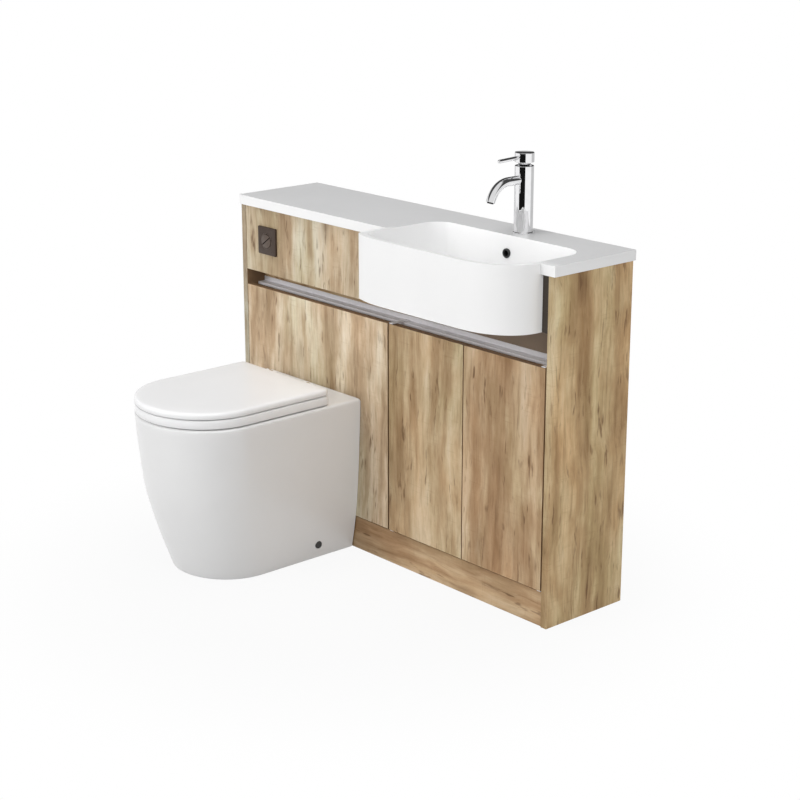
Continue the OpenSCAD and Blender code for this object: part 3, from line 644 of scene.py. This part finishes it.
def boolean(ob, bm, op):
    tool = solid("tool", bm)
    mod = ob.modifiers.new("b", "BOOLEAN")
    mod.operation = op
    mod.solver = "EXACT"
    mod.object = tool
    result = bpy.data.meshes.new_from_object(ob.evaluated_get(bpy.context.evaluated_depsgraph_get()))
    ob.modifiers.clear()
    old = ob.data
    ob.data = result
    bpy.data.meshes.remove(old)
    bpy.data.objects.remove(tool)


def take_mesh(ob):
    """The object's mesh as a bmesh; the object goes."""
    bm = bmesh.new()
    bm.from_mesh(ob.data)
    bpy.data.objects.remove(ob)
    return bm


def join_rings(bm, a, b):
    for i in range(len(a)):
        j = (i + 1) % len(a)
        bm.faces.new((a[i], a[j], b[j], b[i]))


def add_loft(bm, rings, cap_start=True, cap_end=True):
    """Rings of equal length, joined by quads."""
    vs = [[bm.verts.new(p) for p in ring] for ring in rings]
    for a, b in zip(vs, vs[1:]):
        join_rings(bm, a, b)
    if cap_start:
        bm.faces.new(vs[0])
    if cap_end:
        bm.faces.new(vs[-1])
    return vs


def add_lathe(bm, profile, centre, axis, n):
    """profile is (radius, distance along the axis) pairs; a zero radius closes the end."""
    cx, cy, cz = centre

    def place(r, h, a):
        c, s = r * math.cos(a), r * math.sin(a)
        if axis == "z":
            return point(cx + c, cy + s, cz + h)
        if axis == "y":
            return point(cx + c, cy + h, cz + s)
        return point(cx + h, cy + c, cz + s)

    prev = None
    for r, h in profile:
        ring = [bm.verts.new(place(r, h, 2 * math.pi * i / n)) for i in range(n if r else 1)]
        if prev and (len(prev) > 1 or len(ring) > 1):
            for i in range(n):
                j = (i + 1) % n
                if len(prev) == 1:
                    bm.faces.new((prev[0], ring[i], ring[j]))
                elif len(ring) == 1:
                    bm.faces.new((prev[i], prev[j], ring[0]))
                else:
                    bm.faces.new((prev[i], prev[j], ring[j], ring[i]))
        prev = ring


def rod(radius, low, high):
    """The lathe profile of a plain cylinder."""
    return [(0, low), (radius, low), (radius, high), (0, high)]


def rounded(points, r, n=4):
    """Rounds the inner corners of an open profile of (radius, height) pairs."""
    out = [points[0]]
    for a, b, c in zip(points, points[1:], points[2:]):
        a, b, c = Vector(a), Vector(b), Vector(c)
        u, v = a - b, c - b
        k = min(r, u.length * 0.45, v.length * 0.45)
        if k < 1e-3:
            out.append(tuple(b))
            continue
        u, v = u.normalized() * k, v.normalized() * k
        for i in range(n + 1):
            t = i / n
            out.append(tuple((b + u) * (1 - t) ** 2 + b * 2 * t * (1 - t) + (b + v) * t ** 2))
    out.append(points[-1])
    return out


def add_sweep(bm, path, radii, n):
    """A round bar along points in mm, with a radius for each point."""
    pts = [point(*p) for p in path]
    side = Vector((1, 0, 0))
    rings = []
    for i, (p, radius) in enumerate(zip(pts, radii)):
        t = (pts[min(i + 1, len(pts) - 1)] - pts[max(i - 1, 0)]).normalized()
        s = (side - t * side.dot(t)).normalized()
        u = t.cross(s)
        rings.append([p + (s * math.cos(a) + u * math.sin(a)) * (radius * MM)
                      for a in (2 * math.pi * k / n for k in range(n))])
    add_loft(bm, rings)


def add_box(bm, x0, x1, y0, y1, z0, z1):
    vs = [bm.verts.new(point(x, y, z)) for z in (z0, z1) for y in (y0, y1) for x in (x0, x1)]
    for f in ((0, 1, 3, 2), (4, 6, 7, 5), (0, 4, 5, 1), (2, 3, 7, 6), (0, 2, 6, 4), (1, 5, 7, 3)):
        bm.faces.new([vs[i] for i in f])


def arc(cx, cy, rx, ry, a0, a1, n):
    """n + 1 points of an ellipse, from a0 to a1 degrees."""
    turns = [math.radians(a0 + (a1 - a0) * i / n) for i in range(n + 1)]
    return [(cx + rx * math.cos(a), cy + ry * math.sin(a)) for a in turns]


def resample(pts, n):
    """n points at equal steps round a closed outline."""
    pts = [Vector(p) for p in pts]
    pts.append(pts[0])
    run = [0.0]
    for a, b in zip(pts, pts[1:]):
        run.append(run[-1] + (b - a).length)
    out, k = [], 0
    for i in range(n):
        d = run[-1] * i / n
        while k < len(pts) - 2 and run[k + 1] < d:
            k += 1
        step = run[k + 1] - run[k]
        out.append(tuple(pts[k].lerp(pts[k + 1], 0 if step == 0 else min(1, (d - run[k]) / step))))
    return out


def smooth_between(keys, z):
    """Smooth curve through (z, values...) keys, sorted by z, without overshoot."""
    if z <= keys[0][0]:
        return keys[0][1:]
    if z >= keys[-1][0]:
        return keys[-1][1:]

    def rise(j, c):
        return (keys[j + 1][c] - keys[j][c]) / (keys[j + 1][0] - keys[j][0])

    def slope(j, c):
        if j == 0:
            return rise(0, c)
        if j == len(keys) - 1:
            return rise(j - 1, c)
        a, b = rise(j - 1, c), rise(j, c)
        return 0 if a * b <= 0 else 2 * a * b / (a + b)

    i = max(k for k in range(len(keys) - 1) if keys[k][0] <= z)
    h = keys[i + 1][0] - keys[i][0]
    t = (z - keys[i][0]) / h
    out = []
    for c in range(1, len(keys[0])):
        m0, m1 = slope(i, c) * h, slope(i + 1, c) * h
        p0, p1 = keys[i][c], keys[i + 1][c]
        out.append((2 * t ** 3 - 3 * t ** 2 + 1) * p0 + (t ** 3 - 2 * t ** 2 + t) * m0
                   + (-2 * t ** 3 + 3 * t ** 2) * p1 + (t ** 3 - t ** 2) * m1)
    return out


# ---- worktop and basin ------------------------------------------------------

# Seen from above, the basin's front swings out this far over this run from its left corner, and
# past its foremost point a rounder curve turns to its right side
FRONT_RISE, FRONT_RUN, FRONT_POWER = 21, 125, 2.6
ROUND_POWER = 0.87
APRON_BACK = 180

# The bowl's rings: height over its lowest point, inset from the basin's plan, radius of the back
# corners, back edge
BASIN_BOWL = ((141, 13, 55, 156), (105, 15.6, 54, 150.7), (65, 18.5, 53, 145),
              (47, 20.3, 52, 142.3), (30, 25, 50, 139.8), (17, 31, 47, 138.2),
              (9, 38, 44, 137.2), (4, 46, 40, 136.2), (1.6, 55, 36, 134))
# Its floor falls to the waste: size of the ring against the last one, height
BASIN_FLOOR = ((0.75, 0.8), (0.45, 0.3), (0.2, 0))


def basin_plan(inset, back, corner=12.0):
    """Tight left corner, a front that soon runs level and a full round to the right."""
    x0, reach = BASIN_X0 + inset, BASIN_REACH - inset
    right = BASIN_X1 - BASIN_PEAK_X - inset
    start = corner / FRONT_RUN
    corner_y = 0.94 * corner - reach + FRONT_RISE * (1 - 0.66 * start) ** FRONT_POWER
    pts = [(x0, back)] + arc(x0 + corner, corner_y, corner, corner, 180, 250, 10)
    for i in range(1, 17):
        t = start + (1 - start) * i / 16
        pts.append((x0 + FRONT_RUN * t, FRONT_RISE * (1 - t) ** FRONT_POWER - reach))
    for i in range(40):
        a = math.radians(i * 2.2)
        pts.append((BASIN_PEAK_X + right * math.sin(a) ** ROUND_POWER,
                    -reach * math.cos(a) ** ROUND_POWER))
    return pts + [(BASIN_X1 - inset, 0), (BASIN_X1 - inset, back)]


def bowl_plan(inset, corner, back):
    x0, x1 = BASIN_X0 + inset + corner, BASIN_X1 - inset - corner
    return (basin_plan(inset, 0, 34)[1:-1]
            + arc(x1, back - corner, corner, corner, 0, 90, 12)
            + arc(x0, back - corner, corner, corner, 90, 180, 12))


def bowl_rings(points=150):
    plans = [(resample(bowl_plan(inset, corner, back), points), h)
             for h, inset, corner, back in BASIN_BOWL]
    last = plans[-1][0]
    for k, h in BASIN_FLOOR:
        plans.append(([(WASTE_X + (x - WASTE_X) * k, WASTE_Y + (y - WASTE_Y) * k) for x, y in last], h))
    return [[point(x, y, BASIN_FLOOR_Z + h) for x, y in plan] for plan, h in plans]


def add_worktop():
    bm = bmesh.new()
    add_box(bm, TOP_X0, TOP_X1, SLAB_FRONT, CABINET_BACK, SLAB_LOW, TOP_Z)
    slab = solid("slab", bm)
    bm = bmesh.new()
    add_loft(bm, [[point(x, y, z) for x, y in basin_plan(0, APRON_BACK)] for z in (APRON_LOW, TOP_Z)])
    boolean(slab, bm, "UNION")
    bm = bmesh.new()
    add_loft(bm, bowl_rings())
    boolean(slab, bm, "DIFFERENCE")
    # the holes for the waste, the tap's shank and the overflow
    for radius, length, start, axis in (
        (22, 30, (WASTE_X, WASTE_Y, BASIN_FLOOR_Z - 23), "z"),
        (17.5, 40, (TAP_X, TAP_Y, SLAB_LOW - 10), "z"),
        (9, 26, (OVERFLOW_X, 142, OVERFLOW_Z), "y"),
    ):
        bm = bmesh.new()
        add_lathe(bm, rod(radius, 0, length), start, axis, 40)
        boolean(slab, bm, "DIFFERENCE")
    bm = take_mesh(slab)
    bmesh.ops.remove_doubles(bm, verts=bm.verts, dist=0.00002)
    finish_mesh("cast_worktop", bm, resin, "unit", ("worktop_basin",), 32, (2.2, 3, 38))


def add_overflow_trim():
    """A thin collar round the hole, with its lip on the bowl's back wall."""
    bm = bmesh.new()
    profile = [(7.7, 5), (7.7, -0.6), (8.6, -1.4), (11.2, -1.2), (11.8, 0.4), (11.8, 4), (8.9, 4.2),
               (8.9, 5), (7.7, 5)]
    add_lathe(bm, rounded(profile, 0.5), (OVERFLOW_X, 146.4, OVERFLOW_Z), "y", 40)
    finish_mesh("overflow_trim", bm, black, "unit", ("overflow_ring",), 50)


def add_waste_plug():
    """A low domed cap on a thin stem."""
    bm = bmesh.new()
    centre = (WASTE_X, WASTE_Y, BASIN_FLOOR_Z)
    profile = [(0, 4), (20, 4), (24.6, 4), (26, 5.2), (25.4, 6.6), (21, 7.6), (0.01, 8), (0, 8)]
    add_lathe(bm, rounded(profile, 1.0), centre, "z", 56)
    add_lathe(bm, rod(3, -57, 4.5), centre, "z", 20)
    finish_mesh("waste_plug_cap", bm, chrome, "basin_plug", ("waste_plug",), 50)


# ---- tap --------------------------------------------------------------------

# Heights are over the worktop, or over the cap's foot for the cap, and lengths from the column's axis
COLUMN_R, SHOULDER = 23, 162.3
SPOUT_R, SPOUT_H, BEND_R, BEND_Y, BEND_TURN = 11, 129, 60, 53.6, 73
CAP_R, CAP_H, CAP_FOOT = 23.5, 20, 174
LEVER_H, LEVER_TILT = 183.5, math.radians(2.3)


def add_tap_column():
    bm = bmesh.new()
    profile = [(0, 0.05), (25, 0.05), (25, 2.6), (COLUMN_R, 3.6), (COLUMN_R, 6),
               (COLUMN_R, SHOULDER - 1.8), (COLUMN_R, SHOULDER), (17, SHOULDER), (16, 154), (0, 154)]
    add_lathe(bm, rounded(profile, 0.9), (TAP_X, TAP_Y, TOP_Z), "z", 72)
    spout = [(TAP_X, TAP_Y - d, TOP_Z + SPOUT_H) for d in (10, 32, 50)]
    for i in range(15):
        t = math.radians(BEND_TURN * i / 14)
        spout.append((TAP_X, TAP_Y - BEND_Y - BEND_R * math.sin(t),
                      TOP_Z + SPOUT_H - BEND_R + BEND_R * math.cos(t)))
    add_sweep(bm, spout, [SPOUT_R] * len(spout), 36)
    finish_mesh("tap_column", bm, chrome, "unit", ("tap_body",), 40)


def add_tap_cap():
    bm = bmesh.new()
    profile = [(0, -3.4), (16, -3.4), (CAP_R, -3.4), (CAP_R, -0.9), (CAP_R, CAP_H - 2.5),
               (CAP_R, CAP_H), (0, CAP_H)]
    add_lathe(bm, rounded(profile, 1.1), (TAP_X, TAP_Y, TOP_Z + CAP_FOOT), "z", 72)
    finish_mesh("tap_cap_shell", bm, chrome, "tap_lever_cap", ("tap_cap",), 40)


def add_tap_lever():
    """A pin that leaves the cap to the front and falls a little."""
    bm = bmesh.new()
    # distance from the column's axis and radius
    pin = [(20, 4.5), (50, 4.5), (84.5, 4.5), (86, 4.0), (86.9, 2.6)]
    path = [(TAP_X, TAP_Y - d, TOP_Z + LEVER_H - d * math.tan(LEVER_TILT)) for d, _ in pin]
    add_sweep(bm, path, [r for _, r in pin], 32)
    finish_mesh("tap_pin_lever", bm, chrome, "tap_lever_cap", ("tap_lever",), 50)


# ---- toilet pan -------------------------------------------------------------

# Height, half width, reach in front of the cabinet, and length of the rounded nose
PAN = ((0, 147, 436, 140), (80, 162, 464, 148), (155, 171, 487, 154), (230, 177, 505, 160),
       (330, 182.3, 516.3, 165), (415, 186, 523, 168))
# Height, middle, half width and half length of the bowl
PAN_BOWL = ((108, -271, 42, 44), (185, -296, 70, 84), (300, -318, 100, 122),
            (380, -321, 110, 137), (408, -322, 112, 140))
PAN_WALL = 13
SPIGOT_Z, INLET_Z = 180, 345


def d_plan(half, reach, nose, back, n=48):
    """The toilet's plan: a flat back, straight sides and a half-oval nose."""
    side = [-back - (reach - nose - back) * i / 10 for i in range(10)]
    return ([(WC_X + half, y) for y in side]
            + [(WC_X + x, y) for x, y in arc(0, nose - reach, half, nose, 0, -180, n)]
            + [(WC_X - half, y) for y in reversed(side)]
            + [(WC_X - half + half * 2 * i / 16, -back) for i in range(1, 16)])


def pan_plan(z, shrink=0.0, back=1.0):
    half, reach, nose = smooth_between(PAN, z)
    return d_plan(half - shrink, reach - shrink, nose - shrink, back)


def add_pan():
    """Skirt with a soft foot and rim, its hollow inside, and the bowl with its rim land."""
    bm = bmesh.new()
    foot = [(0, 1.5), (1.2, 0.3), (4, 0)]
    skirt = [(z, 0) for z in range(20, 402, 13)]
    rim = [(RIM_Z - d, shrink) for d, shrink in ((7, 0.1), (4, 0.9), (1.7, 2.4), (0.4, 5), (0, 8))]
    plans = [(pan_plan(z, shrink, 1 + min(shrink, 3)), z) for z, shrink in foot + skirt + rim]
    outer = add_loft(bm, [[point(x, y, z) for x, y in plan] for plan, z in plans], False, False)
    hollow = [[point(x, y, z) for x, y in pan_plan(z, PAN_WALL)] for z in (0, 100, 200, 300, 385)]
    inner = add_loft(bm, hollow, False, True)
    join_rings(bm, outer[0], inner[0])

    # the bowl has a point for each point of the rim, in the same direction
    _, mouth_y, mouth_rx, mouth_ry = PAN_BOWL[-1]
    turns = [math.atan2((y - mouth_y) / mouth_ry, (x - WC_X) / mouth_rx) for x, y in plans[-1][0]]
    lip = [(RIM_Z - d, grow) for d, grow in ((0, 7), (0.6, 4), (2.4, 1.6), (7, 0), (20, 0))]
    wall = [(z, 0) for z in (380, 350, 320, 290, 260, 230, 200, 170, 145, 124)]
    sump = [(112, -8), (108, -22)]
    rings = []
    for z, grow in lip + wall + sump:
        cy, rx, ry = smooth_between(PAN_BOWL, z)
        rings.append([point(WC_X + (rx + grow) * math.cos(a), cy + (ry + grow) * math.sin(a), z)
                      for a in turns])
    bowl = add_loft(bm, rings, False, True)
    join_rings(bm, outer[-1], bowl[0])
    bmesh.ops.remove_doubles(bm, verts=bm.verts, dist=0.00001)
    finish_mesh("china_pan", bm, ware, "unit", ("pan", "pan_bowl"), 50)


def add_trapway():
    """Trapway behind the bowl, its outlet spigot and the flush inlet."""
    bm = bmesh.new()
    # place along y, height and radius
    way = ((-255, 135, 46), (-235, 165, 46), (-205, 195, 46), (-170, 207, 46), (-135, 198, 46),
           (-105, 184, 48), (-85, SPIGOT_Z, 51), (-9, SPIGOT_Z, 51))
    add_sweep(bm, [(WC_X, y, z) for y, z, _ in way], [r for _, _, r in way], 36)
    inlet = [(34, -150), (36, -60), (36, -2), (27.6, -2), (27.6, -55), (18, -56), (18, -100)]
    add_lathe(bm, rounded(inlet, 1.5), (WC_X, 0, INLET_Z), "y", 40)
    finish_mesh("china_trapway", bm, ware, "unit", ("pan_bowl",), 50)


# ---- seat and lid -----------------------------------------------------------

SEAT_POINTS = 128
SEAT_MIDDLE_Y = -315
SEAT_BACK, SEAT_CORNER = 97.2, 10
SEAT_NOSE, LID_NOSE = 165, 166
SEAT_KNUCKLE_X, LID_KNUCKLE_X = 92, 64


def soft_d(half, reach, nose):
    """Seat or lid outline with small round corners at the hinge end."""
    corner, corner_y = SEAT_CORNER, -(SEAT_BACK + SEAT_CORNER)
    pts = [(half, corner_y)] + arc(0, nose - reach, half, nose, 0, -180, 60)
    pts += arc(-half + corner, corner_y, corner, corner, 180, 90, 6)
    pts += arc(half - corner, corner_y, corner, corner, 90, 0, 6)
    return resample([(WC_X + x, y) for x, y in pts], SEAT_POINTS)


def matched_oval(outline, cy, rx, ry):
    """An oval with a point in the direction of each point of the outline."""
    turns = [math.atan2(y - cy, x - WC_X) for x, y in outline]
    return [(WC_X + rx * math.cos(a), cy + ry * math.sin(a)) for a in turns]


def inset_ring(outline, d, z):
    """The outline at height z, moved in by d, or out where d is below zero."""
    centre = Vector((WC_X, SEAT_MIDDLE_Y))
    ring = []
    for i, here in enumerate(outline):
        here = Vector(here)
        along = (Vector(outline[(i + 1) % len(outline)]) - Vector(outline[i - 1])).normalized()
        out = Vector((along.y, -along.x))
        if (here - centre).dot(out) < 0:
            out = -out
        ring.append(point(*(here - out * d), z))
    return ring


def scaled_ring(outline, d, z, k):
    """An inset ring, drawn together to k of its size."""
    centre = point(WC_X, SEAT_MIDDLE_Y, z)
    return [centre + (p - centre) * k for p in inset_ring(outline, d, z)]


def add_knuckles(bm, offset, z0, z1):
    """The two eyes round the hinge pins, each with a web to the seat or lid."""
    for side in (-1, 1):
        x = WC_X + side * offset
        eye = rounded([(4.1, -6), (9, -6), (9, 6), (4.1, 6)], 0.8)
        add_lathe(bm, eye, (x, HINGE_Y, HINGE_Z), "x", 32)
        add_box(bm, x - 6, x + 6, -104, -86, z0, z1)


def add_seat():
    bm = bmesh.new()
    outline = soft_d(*half_and_reach("seat"), SEAT_NOSE)
    hole = matched_oval(outline, -314, 106, 136)
    # inset from the outline or growth of the hole, and height over the seat's underside
    outside = ((3, 0), (1.0, 0.5), (0, 2.5), (0, 18), (1.0, 20.8), (4, 22), (10, 22))
    inside = ((12, 21.6), (5, 20.2), (1.2, 16.5), (0, 11), (0.8, 3.5), (3.5, 0.3), (6, 0))
    rings = [inset_ring(outline, d, SEAT_Z + h) for d, h in outside]
    rings += [inset_ring(hole, -d, SEAT_Z + h) for d, h in inside]
    vs = add_loft(bm, rings, False, False)
    join_rings(bm, vs[-1], vs[0])
    add_knuckles(bm, SEAT_KNUCKLE_X, SEAT_Z + 15, SEAT_Z + 21)
    finish_mesh("seat_ring_moulding", bm, seat_white, "seat_ring", ("seat",), 45)


def add_lid():
    """A hollow underside, a rolled edge and a top that rises a little to the middle."""
    bm = bmesh.new()
    outline = soft_d(*half_and_reach("lid"), LID_NOSE)
    # size or inset of each ring, and how far it lies below the lid's top
    under = ((0.05, 8), (0.6, 8), (0.95, 9), (0.985, 12))
    edge = ((8.5, 16.7), (3, 17), (0.8, 16.4), (0, 14.5), (0, 9), (1.0, 5), (3.0, 2.6), (6.5, 1.3))
    crown = ((0.965, 0.6), (0.8, 0.2), (0.5, 0), (0.05, 0))
    rings = [scaled_ring(outline, edge[0][0], LID_TOP - deep, k) for k, deep in under]
    rings += [inset_ring(outline, d, LID_TOP - deep) for d, deep in edge]
    rings += [scaled_ring(outline, edge[-1][0], LID_TOP - deep, k) for k, deep in crown]
    add_loft(bm, rings)
    add_knuckles(bm, LID_KNUCKLE_X, LID_TOP - 16, LID_TOP - 9.5)
    finish_mesh("lid_moulding", bm, seat_white, "lid_cover", ("lid",), 45)


# ---- flush plate ------------------------------------------------------------

BUTTON_R, SPLIT = 19, math.radians(35)
# Distance of each button's middle and stem from the split, and half of the gap between them
BUTTON_MIDDLE, STEM_OFF, HALF_GAP = 8, 10, 0.4


def rounded_square(half, corner, y, n=6):
    pts = []
    c = half - corner
    for cx, cz, a0 in ((c, c, 0), (-c, c, 90), (-c, -c, 180), (c, -c, 270)):
        pts += arc(PLATE_X + cx, PLATE_Z + cz, corner, corner, a0, a0 + 90, n)
    return [point(x, y, z) for x, z in pts]


def add_flush_plate():
    """Square cover with a well, the cup behind it and two ribbed air spigots."""
    bm = bmesh.new()
    cover = ((36.6, 2, -0.02), (37, 2.2, -0.6), (37, 2.2, -4.6), (36.5, 2.2, -5.6), (35.4, 2, -6))
    add_loft(bm, [rounded_square(half, corner, y) for half, corner, y in cover])
    plate = solid("plate", bm)
    bm = bmesh.new()
    add_lathe(bm, rod(21.2, -8, 3), (PLATE_X, 0, PLATE_Z), "y", 56)
    boolean(plate, bm, "DIFFERENCE")
    bm = take_mesh(plate)
    cup = [(22.5, 0), (26, 0), (26, 21), (0, 21), (0, 18), (22.5, 18), (22.5, 0)]
    add_lathe(bm, cup, (PLATE_X, 0, PLATE_Z), "y", 56)
    ribs = [(9 - (i % 2) * 1.6, 22 + i * 1.9) for i in range(15)]
    spigot = [(0, 21)] + ribs + [(2.4, 50), (2.2, 52), (0, 52)]
    for s in (-1, 1):
        x, z = PLATE_X - s * STEM_OFF * math.sin(SPLIT), PLATE_Z + s * STEM_OFF * math.cos(SPLIT)
        add_lathe(bm, spigot, (x, 0, z), "y", 28)
    finish_mesh("flush_plate_cover", bm, gunmetal, "unit", ("flush_plate",), 40)


def add_bezel():
    bm = bmesh.new()
    profile = [(19.4, 2), (19.4, -6.2), (20.2, -7.2), (21.4, -7.2), (22.3, -6.0), (22.3, -4.5),
               (21.3, 2), (19.4, 2)]
    add_lathe(bm, rounded(profile, 0.5), (PLATE_X, 0, PLATE_Z), "y", 64)
    finish_mesh("flush_plate_bezel", bm, gunmetal_button, "unit", ("flush_plate",), 40)


def add_button(name, body, node, side):
    """The half disc above (1) or below (-1) the split, which slants as the photo shows."""
    c, s = math.cos(-SPLIT), math.sin(-SPLIT)
    bm = bmesh.new()
    half_disc = [(BUTTON_R * math.cos(math.radians(t)), side * BUTTON_R * math.sin(math.radians(t)))
                 for t in range(2, 179, 6)]
    half_disc = [(x, side * max(abs(z), HALF_GAP)) for x, z in half_disc]
    middle_z = side * BUTTON_MIDDLE
    rings = []
    for k, y in ((1.0, 4), (1.0, -7.6), (0.97, -8.6), (0.92, -9)):
        flat = [(x * k, middle_z + (z - middle_z) * k) for x, z in half_disc]
        rings.append([point(PLATE_X + c * x + s * z, y, PLATE_Z - s * x + c * z) for x, z in flat])
    add_loft(bm, rings)
    stem = (PLATE_X + s * side * STEM_OFF, 0, PLATE_Z + c * side * STEM_OFF)
    add_lathe(bm, rod(4, 3, 34), stem, "y", 20)
    finish_mesh(name, bm, gunmetal_button, body, (node,), 40)


add_worktop()
add_overflow_trim()
add_waste_plug()
add_tap_column()
add_tap_cap()
add_tap_lever()
add_pan()
add_trapway()
add_seat()
add_lid()
add_flush_plate()
add_bezel()
add_button("flush_button_full", "full_flush_button", "button_full", -1)
add_button("flush_button_half", "half_flush_button", "button_half", 1)
add_floor()

bpy.context.view_layer.update()
